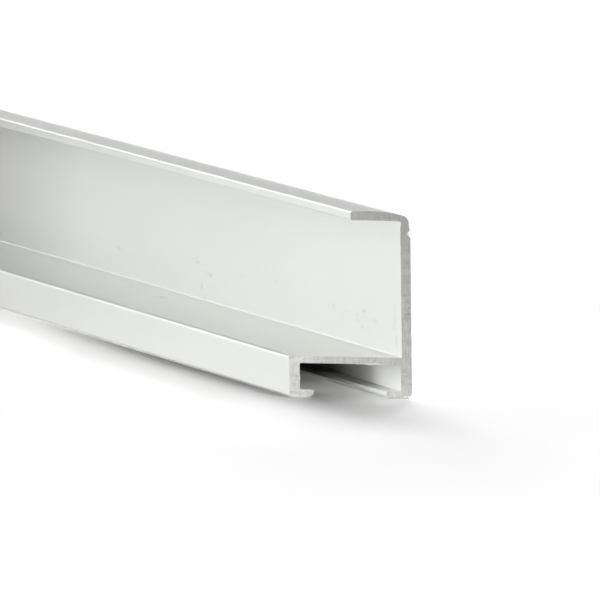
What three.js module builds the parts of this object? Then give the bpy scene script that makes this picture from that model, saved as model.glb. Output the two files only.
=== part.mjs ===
// Aluminium picture-frame moulding: one extruded bar, sawn to a mitre at both ends.
//
// Millimetres. X runs along the bar, Y across it (towards the frame's outside), Z up from the
// hooks that it stands on to its face. The origin is under the middle of the bar.

import * as THREE from 'three';

// Bar
const OUTER_LENGTH = 600; // point to point along the outer wall, its longest side
const MITRE_ANGLE = THREE.MathUtils.degToRad(45); // turned from a square cut

// Overall section
const SECTION_HEIGHT = 35;
const SECTION_WIDTH = 16;

// Outer wall: one skin, thicker where it closes the connector channel
const WALL_THICKNESS = 1.25;
const CHANNEL_WALL_THICKNESS = 1.4;

// Face lip, which covers the edge of the glass
const FACE_WIDTH = 7.7; // from the outer wall's outside to the lip's tip
const FACE_THICKNESS = 1.7;
const FACE_CROWN_WIDTH = 5; // the outer part of the face, which falls away in a shallow arc
const FACE_CROWN_RADIUS = 12;
const FACE_CORNER_RADIUS = 1.7;
const FACE_TIP_TOP_RADIUS = 0.4;
const FACE_TIP_UNDER_RADIUS = 0.15;

// Connector channel under the web, open between two hooks
const HOOK_THICKNESS = 1.45;
const CHANNEL_HEIGHT = 5;
const WEB_THICKNESS = 1.3;
const INNER_LIP_THICKNESS = 1.35;
const INNER_HOOK_REACH = 1.8;
const WALL_HOOK_REACH = 1.9;
const INNER_HOOK_UNDER_RADIUS = 1.1;
const WALL_HOOK_UNDER_RADIUS = 0.6;
const HOOK_TIP_TOP_RADIUS = 0.3;

// Outside edges
const INNER_LIP_TOP_RADIUS = 0.6;
const INNER_LIP_FOOT_RADIUS = 0.5;
const WALL_FOOT_RADIUS = 1.2;

// Root fillets that the die leaves in the inside corners
const RABBET_FILLET = 0.3;
const CHANNEL_FILLET = 0.25;

const ARC_STEPS = 4; // an arc is drawn with twice as many chords

// Levels and faces that follow from the sizes above
const outerFace = SECTION_WIDTH / 2;
const innerFace = -SECTION_WIDTH / 2;
const rabbetWall = outerFace - WALL_THICKNESS;
const channelWall = outerFace - CHANNEL_WALL_THICKNESS;
const channelLip = innerFace + INNER_LIP_THICKNESS;
const faceTip = outerFace - FACE_WIDTH;
const faceUnderside = SECTION_HEIGHT - FACE_THICKNESS;
const webUnderside = HOOK_THICKNESS + CHANNEL_HEIGHT;
const webTop = webUnderside + WEB_THICKNESS;
const innerHookTip = channelLip + INNER_HOOK_REACH;
const wallHookTip = channelWall - WALL_HOOK_REACH;

// Draws one corner of the outline as an arc that touches the straight runs before and after it.
function addRoundedCorner(path, before, corner, after) {
  const at = new THREE.Vector2(corner.y, corner.z);
  const towardsBefore = new THREE.Vector2(before.y, before.z).sub(at).normalize();
  const towardsAfter = new THREE.Vector2(after.y, after.z).sub(at).normalize();
  const halfAngle = Math.acos(towardsBefore.dot(towardsAfter)) / 2;
  const bisector = towardsBefore.clone().add(towardsAfter).normalize();
  const centre = at.clone().addScaledVector(bisector, corner.radius / Math.sin(halfAngle));
  const tangentLength = corner.radius / Math.tan(halfAngle);
  const start = at.clone().addScaledVector(towardsBefore, tangentLength).sub(centre);
  const end = at.clone().addScaledVector(towardsAfter, tangentLength).sub(centre);
  const clockwise = towardsBefore.cross(towardsAfter) > 0;
  path.absarc(centre.x, centre.y, corner.radius, start.angle(), end.angle(), clockwise);
}

// The face rolls over into the outer wall: a tight corner arc, then the shallow crown, each
// touching the next.
function addCrownedCorner(path) {
  const cornerCentre = outerFace - FACE_CORNER_RADIUS;
  const crownCentre = outerFace - FACE_CROWN_WIDTH;
  const crownBase = SECTION_HEIGHT - FACE_CROWN_RADIUS;
  const offset = cornerCentre - crownCentre;
  const rise = Math.sqrt((FACE_CROWN_RADIUS - FACE_CORNER_RADIUS) ** 2 - offset ** 2);
  const meeting = Math.atan2(rise, offset);
  path.absarc(cornerCentre, crownBase + rise, FACE_CORNER_RADIUS, 0, meeting, false);
  path.absarc(crownCentre, crownBase, FACE_CROWN_RADIUS, meeting, Math.PI / 2, false);
}

// The section, drawn anticlockwise from the foot of the outer wall, which is where it closes.
function makeSection() {
  const foot = { y: outerFace, z: 0, radius: WALL_FOOT_RADIUS };
  const faceCorner = { y: outerFace, z: SECTION_HEIGHT };
  const corners = [
    { y: faceTip, z: SECTION_HEIGHT, radius: FACE_TIP_TOP_RADIUS },
    { y: faceTip, z: faceUnderside, radius: FACE_TIP_UNDER_RADIUS },
    { y: rabbetWall, z: faceUnderside, radius: RABBET_FILLET },
    { y: rabbetWall, z: webTop, radius: RABBET_FILLET },
    { y: innerFace, z: webTop, radius: INNER_LIP_TOP_RADIUS },
    { y: innerFace, z: 0, radius: INNER_LIP_FOOT_RADIUS },
    { y: innerHookTip, z: 0, radius: INNER_HOOK_UNDER_RADIUS },
    { y: innerHookTip, z: HOOK_THICKNESS, radius: HOOK_TIP_TOP_RADIUS },
    { y: channelLip, z: HOOK_THICKNESS, radius: CHANNEL_FILLET },
    { y: channelLip, z: webUnderside, radius: CHANNEL_FILLET },
    { y: channelWall, z: webUnderside, radius: CHANNEL_FILLET },
    { y: channelWall, z: HOOK_THICKNESS, radius: CHANNEL_FILLET },
    { y: wallHookTip, z: HOOK_THICKNESS, radius: HOOK_TIP_TOP_RADIUS },
    { y: wallHookTip, z: 0, radius: WALL_HOOK_UNDER_RADIUS },
  ];
  const section = new THREE.Shape();
  addRoundedCorner(section, corners.at(-1), foot, faceCorner);
  addCrownedCorner(section);
  corners.forEach((corner, index) => {
    const before = index === 0 ? faceCorner : corners[index - 1];
    const after = corners[index + 1] ?? foot;
    addRoundedCorner(section, before, corner, after);
  });
  return section;
}

// Slides each end of the bar back along X, by more the further it is from the outer wall.
function sawMitres(geometry) {
  const position = geometry.getAttribute('position');
  for (let i = 0; i < position.count; i += 1) {
    const setback = (outerFace - position.getY(i)) * Math.tan(MITRE_ANGLE);
    const end = Math.sign(position.getX(i));
    position.setX(i, end * (OUTER_LENGTH / 2 - setback));
  }
  geometry.computeVertexNormals();
}

function makeFrameRail() {
  const geometry = new THREE.ExtrudeGeometry(makeSection(), {
    depth: OUTER_LENGTH,
    steps: 1,
    bevelEnabled: false,
    curveSegments: ARC_STEPS,
  });
  geometry.translate(0, 0, -OUTER_LENGTH / 2);
  const along = new THREE.Vector3(1, 0, 0);
  const across = new THREE.Vector3(0, 1, 0);
  const up = new THREE.Vector3(0, 0, 1);
  geometry.applyMatrix4(new THREE.Matrix4().makeBasis(across, up, along));
  sawMitres(geometry);
  const anodisedAluminium = new THREE.MeshStandardMaterial({
    color: 0xd6d8d6,
    roughness: 0.38,
    metalness: 1,
  });
  const rail = new THREE.Mesh(geometry, anodisedAluminium);
  rail.name = 'frame_rail';
  return rail;
}

const moulding = new THREE.Group();
moulding.add(makeFrameRail());

export default moulding;
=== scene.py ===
"""The looks of a mitred aluminium picture-frame moulding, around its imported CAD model.

Metres, in the model's own frame: X runs along the bar, Y across it towards the outer wall, Z up.
The near end is the one at high X.
"""

import math

import bpy
import numpy as np
from mathutils import Matrix, Vector, noise


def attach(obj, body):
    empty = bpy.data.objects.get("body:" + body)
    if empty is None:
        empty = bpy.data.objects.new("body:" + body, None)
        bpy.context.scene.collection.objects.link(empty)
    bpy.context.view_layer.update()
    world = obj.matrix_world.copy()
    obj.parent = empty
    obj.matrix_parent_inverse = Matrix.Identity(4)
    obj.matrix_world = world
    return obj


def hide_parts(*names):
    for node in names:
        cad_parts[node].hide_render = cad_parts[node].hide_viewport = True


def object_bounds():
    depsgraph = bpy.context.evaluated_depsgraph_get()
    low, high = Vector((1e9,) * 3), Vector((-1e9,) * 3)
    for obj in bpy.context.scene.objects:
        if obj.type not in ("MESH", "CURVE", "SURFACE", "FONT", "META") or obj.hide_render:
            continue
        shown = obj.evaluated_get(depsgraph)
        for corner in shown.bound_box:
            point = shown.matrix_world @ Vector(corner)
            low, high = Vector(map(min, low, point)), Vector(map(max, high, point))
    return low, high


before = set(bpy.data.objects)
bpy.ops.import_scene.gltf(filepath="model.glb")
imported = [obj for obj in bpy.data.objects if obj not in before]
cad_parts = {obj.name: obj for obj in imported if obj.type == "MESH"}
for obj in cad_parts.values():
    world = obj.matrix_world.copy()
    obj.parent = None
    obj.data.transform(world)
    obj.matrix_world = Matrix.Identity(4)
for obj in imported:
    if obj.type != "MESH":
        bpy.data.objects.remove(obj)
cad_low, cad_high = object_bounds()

MM = 0.001
RAIL = "frame_rail"
PHOTO_PIXELS = 600


def add_object(name, data):
    added = bpy.data.objects.new(name, data)
    bpy.context.scene.collection.objects.link(added)
    return added


# ---------------------------------------------------------------- camera
CAMERA_AZIMUTH = math.radians(54.365)  # 0 looks along +Y, 90 along -X
CAMERA_ELEVATION = math.radians(12.487)
CAMERA_ROLL = math.radians(0.866)
CAMERA_DISTANCE = 1265.68 * MM
FOCAL_PIXELS = 6935.9
SENSOR_WIDTH = 36.0  # in millimetres, as Blender's lens is
NEAREST_SEEN = 0.1
FURTHEST_SEEN = 100.0
# Where the camera's axis meets the near end's cut face, from that end's outer foot.
AIM_FROM_FOOT = Vector((-14.472, -14.472, 18.217)) * MM


def make_camera():
    back = Vector((
        math.sin(CAMERA_AZIMUTH) * math.cos(CAMERA_ELEVATION),
        -math.cos(CAMERA_AZIMUTH) * math.cos(CAMERA_ELEVATION),
        math.sin(CAMERA_ELEVATION),
    ))
    level_right = Vector((math.cos(CAMERA_AZIMUTH), math.sin(CAMERA_AZIMUTH), 0))
    level_up = back.cross(level_right)
    right = level_right * math.cos(CAMERA_ROLL) - level_up * math.sin(CAMERA_ROLL)
    up = level_right * math.sin(CAMERA_ROLL) + level_up * math.cos(CAMERA_ROLL)
    foot = Vector((cad_high.x, cad_high.y, cad_low.z))
    place = foot + AIM_FROM_FOOT + back * CAMERA_DISTANCE
    turn = Matrix((right, up, back)).transposed().to_4x4()
    data = bpy.data.cameras.new("camera")
    data.sensor_width = SENSOR_WIDTH
    data.lens = SENSOR_WIDTH * FOCAL_PIXELS / PHOTO_PIXELS
    data.clip_start = NEAREST_SEEN
    data.clip_end = FURTHEST_SEEN
    camera = add_object("camera", data)
    camera.matrix_world = Matrix.Translation(place) @ turn
    bpy.context.scene.camera = camera


# ---------------------------------------------------------------- the section, from the CAD node
PLACE_DIGITS = 7  # corners that agree to this many digits of a metre are one point
OUTLINE_STEP = 0.12 * MM  # widest gap between two points of the fine outline
STRAIGHT_RATIO = 3.0  # an edge this much longer than its neighbour is a straight run, not a chord


def section_place(corner):
    return round(corner.y, PLACE_DIGITS), round(corner.z, PLACE_DIGITS)


def read_outline(node):
    """The section's (y, z) points, anticlockwise seen from high X, and the mitre's setback per
    metre of depth, from the node's near end."""
    mesh = node.data
    near = {}
    following = {}
    for polygon in mesh.polygons:
        corners = [mesh.vertices[i].co for i in polygon.vertices]
        ahead = [corner for corner in corners if corner.x > 0]
        for corner in ahead:
            near[section_place(corner)] = corner.x
        # Of a side's two triangles, one has an edge of the outline: its two near corners.
        if len(ahead) == 2 and len(corners) == 3:
            while corners[0].x > 0:
                corners.append(corners.pop(0))
            start, end = [section_place(corner) for corner in corners[1:]]
            following[start] = end
    first = min(following)
    loop = [first]
    while following[loop[-1]] != first:
        loop.append(following[loop[-1]])
    points = np.array(loop)
    after = np.roll(points, -1, axis=0)
    if np.sum(points[:, 0] * after[:, 1] - after[:, 0] * points[:, 1]) < 0:
        points = points[::-1]
    inner = min(near)
    setback = (cad_high.x - near[inner]) / (cad_high.y - inner[0])
    return points, setback


def unit(vectors):
    return vectors / np.linalg.norm(vectors, axis=-1, keepdims=True)


def smooth_run(start, end, pull_start, pull_end, t):
    """Points from start to end on the cubic that leaves and arrives along the two pulls."""
    return (
        (2 * t**3 - 3 * t**2 + 1) * start
        + (t**3 - 2 * t**2 + t) * pull_start
        + (3 * t**2 - 2 * t**3) * end
        + (t**3 - t**2) * pull_end
    )


def fine_outline(points):
    """The outline with its chords bent back to the arcs they stand for, and filled to
    OUTLINE_STEP, with its outward normals."""
    edge = np.roll(points, -1, axis=0) - points
    length = np.linalg.norm(edge, axis=1)
    direction = unit(edge)
    before = np.roll(direction, 1, axis=0)
    before_length = np.roll(length, 1)
    tangent = unit(before * length[:, None] + direction * before_length[:, None])
    out = length > STRAIGHT_RATIO * before_length
    into = before_length > STRAIGHT_RATIO * length
    tangent[out] = direction[out]
    tangent[into] = before[into]
    filled = []
    slopes = []
    for i, start in enumerate(points):
        j = (i + 1) % len(points)
        count = max(1, math.ceil(length[i] / OUTLINE_STEP))
        t = (np.arange(count) / count)[:, None]
        pull_start = tangent[i] * length[i]
        pull_end = tangent[j] * length[i]
        filled.append(smooth_run(start, points[j], pull_start, pull_end, t))
        slopes.append(tangent[i] * (1 - t) + tangent[j] * t)
    slope = unit(np.concatenate(slopes))
    return np.concatenate(filled), np.stack([slope[:, 1], -slope[:, 0]], axis=1)


# ---------------------------------------------------------------- the bar
BODY_SPANS = 12  # stretches between the two ends' last rings
SHARP_ANGLE = math.radians(32)
SAWN_SLOT = 1
FACE_INSET = 0.07 * MM  # from the cut face's rim in to the ring that its flat middle fills
BURR_REACH = 0.14 * MM  # how far the burr runs back along the bar
CUT_DEPTHS = [0.0, 0.06 * MM, BURR_REACH, 0.3 * MM, 0.7 * MM, 3.0 * MM]  # of the ends' rings
BURR_HEIGHT = 0.035 * MM
BURR_MEAN = 0.4  # the burr's height in shares of BURR_HEIGHT, before its noises
BURR_SWING = 0.6  # how much the fine noise adds or takes away
BURR_LENGTH = 0.7 * MM  # how often the burr comes and goes along the edge
FINE_BURR = 0.25 * BURR_LENGTH
BROAD_BURR = 3 * BURR_LENGTH
BROAD_LEVEL = 7  # keeps the broad noise apart from the fine one
NEAR_SEED = 1.0
FAR_SEED = 2.0
MARK_ROUNDNESS = 1.5
MIRRORED_ALONG = np.array([-1, 1, 1])

# Marks on the near end's edges, in millimetres: where (y, z), how far to each side along the
# edge, how far it stands out (or in, below 0) and how far it runs back along the bar.
NEAR_MARKS = [
    ((8.0, 30.9), 0.75, -0.45, 0.45),
    ((8.0, 32.9), 1.6, -0.26, 0.28),
    ((7.7, 34.2), 0.6, 0.05, 0.15),
    ((-7.75, 7.7), 0.6, 0.30, 0.4),
    ((-6.65, 3.6), 0.6, 0.05, 0.2),
    ((5.2, 6.45), 1.0, 0.13, 0.35),
    ((3.7, 6.45), 0.6, 0.18, 0.35),
    ((2.6, 6.45), 0.5, 0.20, 0.3),
    ((0.9, 6.45), 0.4, 0.06, 0.25),
    ((7.5, 0.2), 0.4, 0.16, 0.25),
    ((6.9, 0.0), 0.3, -0.12, 0.2),
]


def burr(girth, seed):
    """How far the saw's burr stands out at each place along the outline."""
    heights = []
    for place in girth:
        fine = noise.noise(Vector((place / FINE_BURR, seed, 0)))
        broad = noise.noise(Vector((place / BROAD_BURR, seed, BROAD_LEVEL)))
        heights.append(max(0.0, BURR_MEAN + BURR_SWING * fine + broad))
    return np.array(heights) * BURR_HEIGHT


def marks_at(outline, depth, marks):
    """How far the marks push each outline point out, at this depth behind the cut."""
    offset = np.zeros(len(outline))
    for place, half_length, height, reach in marks:
        away = np.linalg.norm(outline - np.array(place) * MM, axis=1) / (half_length * MM)
        bump = np.clip(1 - away**2, 0, None) ** MARK_ROUNDNESS
        offset += bump * height * MM * max(0.0, 1 - depth / (reach * MM))
    return offset


def end_rings(outline, normal, girth, setback, marks, seed):
    """Rings of points at the near end: one on the cut face, then from its rim back along the
    bar."""
    rough = burr(girth, seed)
    rings = []
    for depth, inset in [(0.0, FACE_INSET)] + [(depth, 0.0) for depth in CUT_DEPTHS]:
        fade = max(0.0, 1 - depth / BURR_REACH)
        stand_out = rough * fade + marks_at(outline, depth, marks) - inset
        place = outline + normal * stand_out[:, None]
        along = cad_high.x - (cad_high.y - place[:, 0]) * setback - depth
        rings.append(np.column_stack([along, place]))
    return rings


def rail_rings():
    """All the bar's rings, from the near cut face to the far one, which is made at the near end
    too and then mirrored."""
    corners, setback = read_outline(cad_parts[RAIL])
    outline, normal = fine_outline(corners)
    steps = np.linalg.norm(np.roll(outline, -1, axis=0) - outline, axis=1)
    girth = np.concatenate([[0], np.cumsum(steps)[:-1]])
    near = end_rings(outline, normal, girth, setback, NEAR_MARKS, NEAR_SEED)
    far = end_rings(outline, normal, girth, setback, [], FAR_SEED)
    far = [ring * MIRRORED_ALONG for ring in reversed(far)]
    between = []
    for k in range(1, BODY_SPANS):
        share = k / BODY_SPANS
        between.append(near[-1] * (1 - share) + far[0] * share)
    return near + between + far


def rail_mesh(rings):
    """The bar's mesh: quads from ring to ring, and one face across each end."""
    count = len(rings[0])
    index = np.arange(count)
    after = np.roll(index, -1)
    faces = []
    for k in range(len(rings) - 1):
        base = k * count
        beyond = base + count
        quads = np.stack([base + index, beyond + index, beyond + after, base + after], axis=1)
        faces.extend(quads.tolist())
    faces.append(index.tolist())
    faces.append(((len(rings) - 1) * count + index[::-1]).tolist())
    mesh = bpy.data.meshes.new("moulding")
    mesh.from_pydata(np.concatenate(rings).tolist(), [], faces)
    mesh.validate()
    mesh.shade_smooth()
    mesh.set_sharp_from_angle(angle=SHARP_ANGLE)
    slots = np.zeros(len(faces), dtype=np.int32)
    slots[:count] = SAWN_SLOT  # the near cut face's rim
    slots[-count - 2 :] = SAWN_SLOT  # the far one's rim, and the middles of both
    mesh.polygons.foreach_set("material_index", slots)
    return mesh


def make_rail():
    mesh = rail_mesh(rail_rings())
    mesh.materials.append(anodised_material())
    mesh.materials.append(sawn_material())
    rail = add_object("moulding", mesh)
    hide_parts(RAIL)
    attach(rail, "root")


# ---------------------------------------------------------------- node trees
PER_MM = 1000.0
IN_MM = (PER_MM, PER_MM, PER_MM)
MIX_SOCKETS = {"FLOAT": (2, 0), "RGBA": (6, 2)}  # each kind's first input, and its output


class Nodes:
    """Short calls for building the node tree of a material or the world."""

    def __init__(self, owner):
        self.tree = owner.node_tree
        self.tree.nodes.clear()

    def add(self, kind, **settings):
        node = self.tree.nodes.new(kind)
        for name, value in settings.items():
            setattr(node, name, value)
        return node

    def link(self, source, target):
        self.tree.links.new(source, target)

    def put(self, value, socket):
        """Links another node's output, or sets a plain value."""
        if isinstance(value, bpy.types.NodeSocket):
            self.link(value, socket)
        else:
            socket.default_value = value

    def math(self, operation, *values, clamp=False):
        node = self.add("ShaderNodeMath", operation=operation, use_clamp=clamp)
        for value, socket in zip(values, node.inputs):
            self.put(value, socket)
        return node.outputs[0]

    def product(self, first, *others):
        for other in others:
            first = self.math("MULTIPLY", first, other)
        return first

    def vector(self, operation, first, second):
        node = self.add("ShaderNodeVectorMath", operation=operation)
        self.put(first, node.inputs[0])
        self.put(second, node.inputs[1])
        return node.outputs["Vector"]

    def length(self, vector):
        node = self.add("ShaderNodeVectorMath", operation="LENGTH")
        self.link(vector, node.inputs[0])
        return node.outputs["Value"]

    def place(self):
        return self.add("ShaderNodeTexCoord").outputs["Object"]

    def scaled_place(self, scale):
        return self.vector("MULTIPLY", self.place(), scale)

    def parts(self, vector):
        node = self.add("ShaderNodeSeparateXYZ")
        self.link(vector, node.inputs[0])
        return node.outputs

    def between(self, value, low, high):
        """1 from low to high, 0 outside."""
        above = self.math("GREATER_THAN", value, low)
        below = self.math("LESS_THAN", value, high)
        return self.product(above, below)

    def noise(self, vector, scale, detail=2.0, roughness=0.5, output="Fac"):
        node = self.add("ShaderNodeTexNoise")
        self.link(vector, node.inputs["Vector"])
        node.inputs["Scale"].default_value = scale
        node.inputs["Detail"].default_value = detail
        node.inputs["Roughness"].default_value = roughness
        return node.outputs[output]

    def ramp(self, value, low, high, to_low, to_high):
        """Turns low to high into to_low to to_high, and keeps to those two outside."""
        node = self.add("ShaderNodeMapRange")
        self.link(value, node.inputs["Value"])
        node.inputs["From Min"].default_value = low
        node.inputs["From Max"].default_value = high
        node.inputs["To Min"].default_value = to_low
        node.inputs["To Max"].default_value = to_high
        return node.outputs["Result"]

    def mix(self, kind, factor, first, second):
        """Mixes two numbers (FLOAT) or two colours (RGBA)."""
        node = self.add("ShaderNodeMix", data_type=kind)
        first_input, output = MIX_SOCKETS[kind]
        self.link(factor, node.inputs["Factor"])
        self.put(first, node.inputs[first_input])
        self.put(second, node.inputs[first_input + 1])
        return node.outputs[output]

    def bump(self, height, distance, normal=None):
        node = self.add("ShaderNodeBump")
        self.link(height, node.inputs["Height"])
        node.inputs["Distance"].default_value = distance
        node.inputs["Strength"].default_value = 1.0
        if normal is not None:
            self.link(normal, node.inputs["Normal"])
        return node.outputs["Normal"]

    def rays(self):
        """Whether a ray comes straight from the camera, and whether it comes from metal that
        mirrors or glass that lets it through."""
        path = self.add("ShaderNodeLightPath")
        glossy = path.outputs["Is Glossy Ray"]
        through = path.outputs["Is Transmission Ray"]
        return path.outputs["Is Camera Ray"], self.math("MAXIMUM", glossy, through)

    def show(self, shader, output="ShaderNodeOutputMaterial"):
        self.link(shader, self.add(output).inputs["Surface"])


def new_material(name):
    material = bpy.data.materials.new(name)
    material.use_nodes = True
    return material, Nodes(material)


# ---------------------------------------------------------------- marks on the metal
# All in millimetres. Scuffs on the inside of the wall: (x, z, half width, half height, depth of
# tone).
WALL_SCUFFS = [
    (234.1, 14.9, 0.65, 0.35, 0.9),
    (233.7, 15.5, 0.40, 0.25, 0.5),
    (232.3, 15.3, 0.45, 0.25, 0.5),
    (238.2, 13.0, 0.60, 0.35, 1.0),
    (237.2, 13.3, 0.40, 0.40, 0.6),
    (235.2, 10.3, 0.40, 0.65, 0.8),
    (236.0, 8.1, 0.40, 0.40, 0.5),
    (248.7, 14.7, 0.50, 0.30, 0.4),
    (259.8, 15.3, 0.50, 0.30, 0.4),
    (242.7, 11.7, 0.60, 0.30, 0.3),
    (207.5, 13.2, 0.70, 0.40, 0.5),
    (277.7, 13.9, 0.60, 0.45, 0.6),
    (276.4, 13.7, 0.35, 0.60, 0.4),
    (281.3, 13.6, 1.40, 0.25, 0.25),
    (280.3, 12.6, 0.40, 0.60, 0.3),
    (284.8, 13.4, 0.40, 0.50, 0.4),
    (285.2, 12.4, 0.35, 0.50, 0.4),
    (287.2, 14.6, 0.60, 0.42, 1.0),
    (287.3, 13.3, 0.90, 0.70, 0.3),
    (290.5, 13.2, 0.80, 0.50, 0.5),
    (286.6, 11.5, 0.40, 0.40, 0.6),
    (288.4, 11.7, 0.40, 0.30, 0.4),
    (296.6, 14.6, 0.50, 2.20, 0.4),
    (296.2, 13.0, 0.35, 0.40, 0.4),
    (297.1, 10.6, 0.45, 1.30, 0.6),
]
# Scuffs on the web's top: (x, y, half length, half width, depth of tone).
WEB_SCUFFS = [
    (228.6, 2.3, 1.40, 0.50, 0.8),
    (216.8, 1.7, 0.40, 0.45, 0.7),
    (218.3, -0.6, 0.40, 0.40, 0.5),
    (227.6, -0.5, 0.40, 0.40, 0.5),
    (253.8, 5.4, 1.40, 0.18, 0.5),
    (262.0, 4.7, 1.30, 0.18, 0.5),
]
# Painted highlights, lighter spots on the cut face: (y, z, half width, half height, gain).
PAINTED_CUT_HIGHLIGHTS = [
    (3.2, 6.5, 1.7, 0.25, 0.30),  # the burr under the web
    (2.7, 7.0, 0.12, 0.45, 0.20),
    (3.5, 7.0, 0.12, 0.45, 0.20),
    (7.05, 0.5, 0.28, 0.18, 0.50),  # the outer wall's foot
    (7.6, 0.45, 0.15, 0.25, 0.50),
    (-6.85, 5.2, 0.12, 1.7, 0.14),  # the inner lip, along the channel
    (7.2, 4.75, 0.9, 0.14, 0.12),  # the outer wall, beside the channel
    (-5.6, 1.25, 1.0, 0.16, 0.14),  # the inner hook's top
    (-6.6, 0.15, 1.1, 0.20, 0.16),  # the inner lip's foot
    (-5.9, 7.2, 2.2, 0.8, 0.14),  # the corner of the inner lip and the web
    (6.6, 1.8, 2.0, 1.5, 0.05),  # the outer hook
]
SPOT_EDGE = (1.4, 0.2)  # where a soft spot starts and where it is full, in its half sizes
SCUFF_DEPTH = 0.9  # how far a scuff's ellipsoid reaches off its face
WALL_INSIDE = 6.75
WEB_TOP = 7.75
# What makes the scuffs' outlines irregular.
WANDER = {"scale": 2.2}
WANDER_MEAN = (0.5, 0.5, 0.5)
WANDER_REACH = (1.3, 0.8, 0.9)

# The connector channel's inside, with a little to spare.
CHANNEL_WALLS = (-6.75, 6.7)
CHANNEL_LEVELS = (0.7, 6.55)  # from halfway up the hooks' tips
CHANNEL_PAINTED_LIGHT = (6.0, 2.5)  # painted light: below which level the metal starts to be lighter, and is
CHANNEL_SHADE_DEPTHS = (8.0, 22.0)  # painted shade: how deep behind the sawn end it starts and is full
HOOK_TOP = (1.25, 1.55)  # levels between which the hooks' tops get painted shade
HOOK_SHADE_DEPTHS = (2.0, 9.0)  # painted shade on the hooks: how deep behind the sawn end it starts and is full
HOOK_SHADE_SHARE = 0.65  # how dark the hooks' painted shade is, in shares of the channel's full painted shade
MITRE_REACH = 292.0  # X of the sawn ends where Y is 0


def soft_spots(nodes, place, spots):
    """The largest of some soft ellipsoids, each (centre, half size, height)."""
    total = None
    for centre, half_size, height in spots:
        away = nodes.vector("DIVIDE", nodes.vector("SUBTRACT", place, centre), half_size)
        spot = nodes.ramp(nodes.length(away), *SPOT_EDGE, 0.0, height)
        total = spot if total is None else nodes.math("MAXIMUM", total, spot)
    return total


def scuff_mask(nodes, place):
    """Where the scuffs are and how dark, 0 to 1."""
    wander = nodes.noise(place, **WANDER, output="Color")
    shift = nodes.vector("SUBTRACT", wander, WANDER_MEAN)
    place = nodes.vector("ADD", place, nodes.vector("MULTIPLY", shift, WANDER_REACH))
    scuffs = []
    for x, z, half_width, half_height, tone in WALL_SCUFFS:
        scuffs.append(((x, WALL_INSIDE, z), (half_width, SCUFF_DEPTH, half_height), tone))
    for x, y, half_length, half_width, tone in WEB_SCUFFS:
        scuffs.append(((x, y, WEB_TOP), (half_length, half_width, SCUFF_DEPTH), tone))
    return soft_spots(nodes, place, scuffs)


def painted_highlight_mask(nodes, place):
    """How much brighter the painted highlights make each place of the cut face, whatever its X.
    """
    flat = nodes.vector("MULTIPLY", place, (0.0, 1.0, 1.0))
    highlights = []
    for y, z, half_width, half_height, highlight_gain in PAINTED_CUT_HIGHLIGHTS:
        highlights.append(((0.0, y, z), (1.0, half_width, half_height), highlight_gain))
    return soft_spots(nodes, flat, highlights)


def channel_masks(nodes, place):
    """Where the inside of the connector channel is, where painted light makes its metal lighter
    low down, and how much painted shade darkens it, which grows away from the sawn ends, first on
    top of the hooks."""
    x, y, z = nodes.parts(place)
    inside = nodes.product(nodes.between(y, *CHANNEL_WALLS), nodes.between(z, *CHANNEL_LEVELS))
    # Painted light: lighter metal low in the channel.
    painted_light_low = nodes.product(inside, nodes.ramp(z, *CHANNEL_PAINTED_LIGHT, 0.0, 1.0))
    # Painted shade: darker deeper behind the sawn ends, first on the hooks' tops.
    deep = nodes.math("ADD", nodes.math("SUBTRACT", MITRE_REACH, nodes.math("ABSOLUTE", x)), y)
    painted_shade = nodes.ramp(deep, *CHANNEL_SHADE_DEPTHS, 0.0, 1.0)
    hook_shading = nodes.ramp(deep, *HOOK_SHADE_DEPTHS, 0.0, HOOK_SHADE_SHARE)
    hook_shade = nodes.product(nodes.between(z, *HOOK_TOP), hook_shading)
    return inside, painted_light_low, nodes.product(inside, nodes.math("MAXIMUM", painted_shade, hook_shade))


# ---------------------------------------------------------------- metals
# Colours are linear, with an alpha. A stretch says how many of a noise's units a metre of X, Y
# and Z holds, and the noise's scale how many waves a unit holds.
NOISE_MIDDLE = (0.3, 0.7)  # where most of a noise's values lie

DIE_STRETCH = (4.0, PER_MM, PER_MM)  # the die's lines run along the bar
DIE_LINES = {"scale": 2.5, "detail": 3.0}
GRAIN = {"scale": 6.0}
CLOUD = {"scale": 0.05, "detail": 3.0}
SATIN_COLOURS = ((0.824, 0.837, 0.809, 1.0), (0.862, 0.872, 0.847, 1.0))
# Painted light low in the channel.
PAINTED_LIGHT_COLOUR = (0.985, 0.99, 0.975, 1.0)
SCUFF_COLOUR = (0.42, 0.42, 0.40, 1.0)
SCUFF_STRENGTH = 0.24
# Painted shade deep in the channel and on the hooks' tops.
PAINTED_SHADE_COLOUR = (0.10, 0.10, 0.095, 1.0)
PAINTED_SHADE_STRENGTH = 0.9
SATIN_ROUGHNESS = (0.46, 0.54)
SCUFF_ROUGHNESS = 0.12  # what a scuff adds
CHANNEL_ROUGHNESS = 0.25  # what the channel's inside adds
SATIN_BUMP = 0.004 * MM

PATCH_STRETCH = (PER_MM, PER_MM, 350.0)  # the saw's patches are taller than wide
PATCHES = {"scale": 2.2, "detail": 3.0, "roughness": 0.6}
STROKE_STRETCH = (120.0, 120.0, PER_MM)  # its strokes run level across the cut
STROKES = {"scale": 1.7, "detail": 5.0, "roughness": 0.7}
STAIN = {"scale": 0.5}
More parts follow.
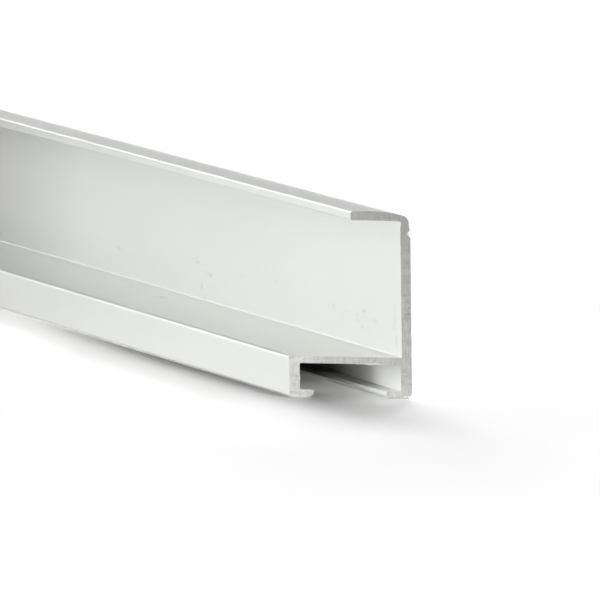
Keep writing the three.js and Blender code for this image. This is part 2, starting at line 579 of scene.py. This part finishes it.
# The cut face's tone is a product of these, each (from, to, tone there, tone there): painted
# shade by height and across the bar, darker towards its top and its outer wall, and painted light
# at its foot, in millimetres, then by its patches and its strokes.
SHADE_PAINTED_BY_HEIGHT = (0.0, 35.0, 0.625, 0.44)
SHADE_PAINTED_ACROSS = (-8.0, 8.0, 1.35, 1.04)
LIGHT_PAINTED_AT_FOOT = (0.5, 2.5, 1.10, 1.0)
TONE_OF_PATCHES = (*NOISE_MIDDLE, 0.88, 1.12)
TONE_OF_STROKES = (0.56, 0.70, 1.0, 0.82)
SAWN_BLACK = (0.0, 0.0, 0.0, 1.0)
SAWN_COLOURS = ((1.0, 1.0, 0.94, 1.0), (1.0, 1.0, 0.985, 1.0))
SAWN_ROUGHNESS = (0.48, 0.64)
SAWN_BUMP = 0.03 * MM


def metal(nodes, colour, roughness, normal):
    shader = nodes.add("ShaderNodeBsdfPrincipled")
    shader.inputs["Metallic"].default_value = 1.0
    nodes.link(colour, shader.inputs["Base Color"])
    nodes.link(roughness, shader.inputs["Roughness"])
    nodes.link(normal, shader.inputs["Normal"])
    nodes.show(shader.outputs[0])


def anodised_material():
    """Satin anodised metal, with die lines and grain, scuffs, and painted light and shade inside
    the channel.
    """
    material, nodes = new_material("satin_anodised_aluminium")
    place = nodes.scaled_place(IN_MM)
    lines = nodes.noise(nodes.scaled_place(DIE_STRETCH), **DIE_LINES)
    grain = nodes.noise(place, **GRAIN)
    cloud = nodes.noise(place, **CLOUD)
    scuffs = scuff_mask(nodes, place)
    channel, painted_light_low, painted_shade = channel_masks(nodes, place)
    clean = nodes.mix("RGBA", cloud, *SATIN_COLOURS)
    # Painted light low in the channel.
    with_painted_light = nodes.mix("RGBA", painted_light_low, clean, PAINTED_LIGHT_COLOUR)
    scuffed = nodes.mix("RGBA", nodes.product(scuffs, SCUFF_STRENGTH), with_painted_light, SCUFF_COLOUR)
    # Painted shade deep in the channel.
    colour = nodes.mix("RGBA", nodes.product(painted_shade, PAINTED_SHADE_STRENGTH), scuffed, PAINTED_SHADE_COLOUR)
    even = nodes.ramp(lines, *NOISE_MIDDLE, *SATIN_ROUGHNESS)
    worn = nodes.math("ADD", even, nodes.product(scuffs, SCUFF_ROUGHNESS))
    roughness = nodes.math("ADD", worn, nodes.product(channel, CHANNEL_ROUGHNESS))
    line_bump = nodes.bump(lines, SATIN_BUMP)
    normal = nodes.bump(grain, SATIN_BUMP, normal=line_bump)
    metal(nodes, colour, roughness, normal)
    return material


def sawn_material():
    """Bare sawn metal, with the saw's strokes, patches and stains, painted highlights, and
    painted shade and light by height, across and at the foot.
    """
    material, nodes = new_material("sawn_aluminium")
    place = nodes.scaled_place(IN_MM)
    _, y, z = nodes.parts(place)
    patches = nodes.noise(nodes.scaled_place(PATCH_STRETCH), **PATCHES)
    strokes = nodes.noise(nodes.scaled_place(STROKE_STRETCH), **STROKES)
    stain = nodes.noise(place, **STAIN)
    # Painted shade and light: darker towards the top and the outer wall, lighter at the foot;
    # then the saw's patches and strokes.
    tone = nodes.product(
        nodes.ramp(z, *SHADE_PAINTED_BY_HEIGHT),
        nodes.ramp(y, *SHADE_PAINTED_ACROSS),
        nodes.ramp(z, *LIGHT_PAINTED_AT_FOOT),
        nodes.ramp(patches, *TONE_OF_PATCHES),
        nodes.ramp(strokes, *TONE_OF_STROKES),
    )
    # Painted highlights: lighter spots on the cut face.
    highlight_gain = nodes.math("ADD", painted_highlight_mask(nodes, place), 1.0)
    tone = nodes.math("MULTIPLY", tone, highlight_gain, clamp=True)
    colour = nodes.mix("RGBA", tone, SAWN_BLACK, nodes.mix("RGBA", stain, *SAWN_COLOURS))
    roughness = nodes.ramp(strokes, *NOISE_MIDDLE, *SAWN_ROUGHNESS)
    stroke_bump = nodes.bump(strokes, SAWN_BUMP)
    normal = nodes.bump(patches, SAWN_BUMP, normal=stroke_bump)
    metal(nodes, colour, roughness, normal)
    return material


# ---------------------------------------------------------------- floor
FLOOR_HALF = 40.0  # half its width, which reaches the horizon
FLOOR_DROP = 0.02 * MM
FLOOR_WHITE = 0.95
FLOOR_SEEN = 1.6  # how much lighter the paper is to the camera and in the metal
FLOOR_MIRRORED = 0.8  # how white the metal mirrors the paper in front of the bar
MIRRORED_LOSS = 0.19  # how much less white it does right in front of the bar's middle
LOSS_ALONG = (0.23, 0.16)  # from where to where that comes in, from the bar's middle
LOSS_ACROSS = (-0.036, -0.018)
SHADOW_FADE = (0.03, 0.08)  # how far from the bar the paper starts to turn plain white, and is

# Painted shade on the paper close to the bar. Places along it are distances from its middle, so
# that both ends have the same. First a painted dark line along the inner lip's foot, which comes
# in towards the ends and is a little weaker at them.
LINE_REACH = 5.4 * MM
LINE_SAMPLES = 8
LINE_START = (0.203, 0.245)
LINE_DEPTH = 1.9
LINE_END = (0.262, 0.288)
LINE_END_DEPTH = 1.4
# Then painted soft patches of shade, at each mouth of the channel and past it: ((along, y) of the
# centre, reach inwards, outwards and across, depth).
SHADE_PATCHES = [
    ((0.2891, -0.0045), 0.0577, 0.0223, 0.0097, 0.475),
    ((0.3129, -0.0041), 0.0063, 0.0159, 0.0113, 0.11),
]
# To the camera the shadow is painted lighter along the bar's middle: how much, and where that
# comes in.
SHADOW_LIFT = 0.36
LIFT_ALONG = (0.232, 0.192)


def soft_patch(nodes, along, y, patch):
    """How much light a painted soft patch of shade leaves on the paper."""
    (centre_along, centre_y), inwards, outwards, across, depth = patch
    beyond = nodes.math("SUBTRACT", along, centre_along)
    outward = nodes.math("DIVIDE", beyond, outwards)
    inward = nodes.math("DIVIDE", beyond, -inwards)
    lengthways = nodes.math("MAXIMUM", outward, inward)
    sideways = nodes.math("DIVIDE", nodes.math("SUBTRACT", y, centre_y), across)
    square = nodes.math("MULTIPLY_ADD", lengthways, lengthways, nodes.product(sideways, sideways))
    return nodes.ramp(nodes.math("SQRT", square), 0.0, 1.0, 1 - depth, 1.0)


def contact_line(nodes, along, in_front):
    """How much light the painted dark line along the inner lip's foot leaves on the paper."""
    contact = nodes.add("ShaderNodeAmbientOcclusion", samples=LINE_SAMPLES)
    contact.inputs["Distance"].default_value = LINE_REACH
    coming = nodes.ramp(along, *LINE_START, 0.0, LINE_DEPTH)
    going = nodes.ramp(along, *LINE_END, LINE_DEPTH, LINE_END_DEPTH)
    depth = nodes.product(nodes.math("MINIMUM", coming, going), in_front)
    return nodes.math("POWER", contact.outputs["AO"], depth)


def shaded_tone(nodes, along, y, in_front, camera):
    """The paper's tone close to the bar, with its painted shade, where 1 is unshaded."""
    line = contact_line(nodes, along, in_front)
    patches = [soft_patch(nodes, along, y, patch) for patch in SHADE_PATCHES]
    dark = nodes.math("MINIMUM", line, nodes.product(*patches))
    lift = nodes.ramp(along, *LIFT_ALONG, 0.0, SHADOW_LIFT)
    return nodes.product(dark, nodes.math("MULTIPLY_ADD", lift, camera, 1.0))


def mirrored_white(nodes, along, y):
    """How white the metal mirrors the paper in front of the bar."""
    loss_along = nodes.ramp(along, *LOSS_ALONG, 0.0, MIRRORED_LOSS)
    loss_across = nodes.ramp(y, *LOSS_ACROSS, 0.0, 1.0)
    return nodes.math("SUBTRACT", FLOOR_MIRRORED, nodes.product(loss_along, loss_across))


def paper_material():
    """White paper, with the bar's shadow on it, cast by the lamps, with painted shade close to
    the bar and a painted lift of that shadow along its middle. It is plain white well away from
    the bar, and the metal mirrors the paper in front of the bar as an almost even white."""
    material, nodes = new_material("white_floor")
    camera, shine = nodes.rays()
    x, y, _ = nodes.parts(nodes.place())
    along = nodes.math("ABSOLUTE", x)
    in_front = nodes.math("LESS_THAN", y, cad_low.y)
    seen = nodes.math("MAXIMUM", camera, shine)
    colour = nodes.ramp(seen, 0.0, 1.0, FLOOR_WHITE, FLOOR_WHITE * FLOOR_SEEN)
    tone = shaded_tone(nodes, along, y, in_front, camera)
    paper = nodes.add("ShaderNodeBsdfDiffuse")
    nodes.link(nodes.product(colour, tone), paper.inputs["Color"])
    white = nodes.add("ShaderNodeEmission")
    strength = nodes.math("MULTIPLY_ADD", shine, mirrored_white(nodes, along, y), camera)
    nodes.link(strength, white.inputs["Strength"])
    beside = nodes.math("SUBTRACT", nodes.math("ABSOLUTE", y), cad_high.y)
    beyond = nodes.math("SUBTRACT", along, cad_high.x)
    away = nodes.ramp(nodes.math("MAXIMUM", beside, beyond), *SHADOW_FADE, 0.0, 1.0)
    clean = nodes.product(camera, away)
    mirrored = nodes.product(shine, in_front)
    surface = nodes.add("ShaderNodeMixShader")
    nodes.link(nodes.math("MAXIMUM", clean, mirrored), surface.inputs[0])
    nodes.link(paper.outputs[0], surface.inputs[1])
    nodes.link(white.outputs[0], surface.inputs[2])
    nodes.show(surface.outputs[0])
    return material


def add_card(name, corners, material):
    """A flat card with four corners."""
    mesh = bpy.data.meshes.new(name)
    mesh.from_pydata(corners, [], [(0, 1, 2, 3)])
    mesh.materials.append(material)
    return add_object(name, mesh)


def make_floor():
    h = FLOOR_HALF
    corners = [(-h, -h, 0), (h, -h, 0), (h, h, 0), (-h, h, 0)]
    floor = add_card("floor", corners, paper_material())
    floor.location.z = cad_low.z - FLOOR_DROP


# ---------------------------------------------------------------- light
# Even panels on a far sphere, each (azimuth and its half width, elevation from and to, in
# degrees; radiance). Azimuth 0 is towards +X, 90 towards +Y.
PANELS = [
    # softboxes high behind the bar
    (135, 22.5, 50, 66, 7.8),
    (90, 22.5, 58, 76, 1.1),
    (45, 22.5, 50, 58, 12.7),
    # white walls around it
    (180, 22.5, -1, 10, 20.3),
    (180, 22.5, 10, 25, 5.9),
    (135, 22.5, -1, 10, 1.8),
    (247.5, 7.5, -1, 10, 19.5),
    (0, 22.5, 10, 25, 7.0),
    (225, 15, 25, 42, 1.3),
]
# The white backdrop beyond the camera, which only metal and glass show.
BACKDROP = (270, 67.5, -1, 50, 1.0)

# A black card out of the picture on the left: its two ends, its height and its colour.
FLAG_ENDS = ((-0.6, -0.115), (0.125, -0.115))
FLAG_HEIGHT = 0.10
FLAG_COLOUR = (0.02, 0.02, 0.02, 1)


def make_panel(nodes, azimuth, height, panel):
    heading, half_width, lowest, highest, radiance = panel
    turn = nodes.math("COSINE", nodes.math("SUBTRACT", azimuth, math.radians(heading)))
    inside = nodes.math("GREATER_THAN", turn, math.cos(math.radians(half_width)))
    above = nodes.math("GREATER_THAN", height, math.sin(math.radians(lowest)))
    below = nodes.math("LESS_THAN", height, math.sin(math.radians(highest)))
    return nodes.product(above, below, inside, radiance)


def make_world():
    """The panels, and plain white to the camera."""
    world = bpy.data.worlds.new("studio")
    bpy.context.scene.world = world
    world.use_nodes = True
    nodes = Nodes(world)
    camera, shine = nodes.rays()
    x, y, z = nodes.parts(nodes.add("ShaderNodeTexCoord").outputs["Generated"])
    azimuth = nodes.math("ARCTAN2", y, x)
    total = nodes.product(make_panel(nodes, azimuth, z, BACKDROP), shine)
    for panel in PANELS:
        total = nodes.math("ADD", total, make_panel(nodes, azimuth, z, panel))
    background = nodes.add("ShaderNodeBackground")
    nodes.link(nodes.mix("FLOAT", camera, total, 1.0), background.inputs["Strength"])
    nodes.show(background.outputs[0], output="ShaderNodeOutputWorld")


def make_flag():
    """The black card, which darkens the bar towards its far end."""
    material, nodes = new_material("black_card")
    card = nodes.add("ShaderNodeBsdfDiffuse")
    card.inputs["Color"].default_value = FLAG_COLOUR
    nodes.show(card.outputs[0])
    (x0, y0), (x1, y1) = FLAG_ENDS
    top = FLAG_HEIGHT
    corners = [(x0, y0, 0), (x1, y1, 0), (x1, y1, top), (x0, y0, top)]
    flag = add_card("flag", corners, material)
    flag.visible_camera = False


make_camera()
make_rail()
make_floor()
make_world()
make_flag()

bpy.context.scene.view_settings.view_transform = "Standard"
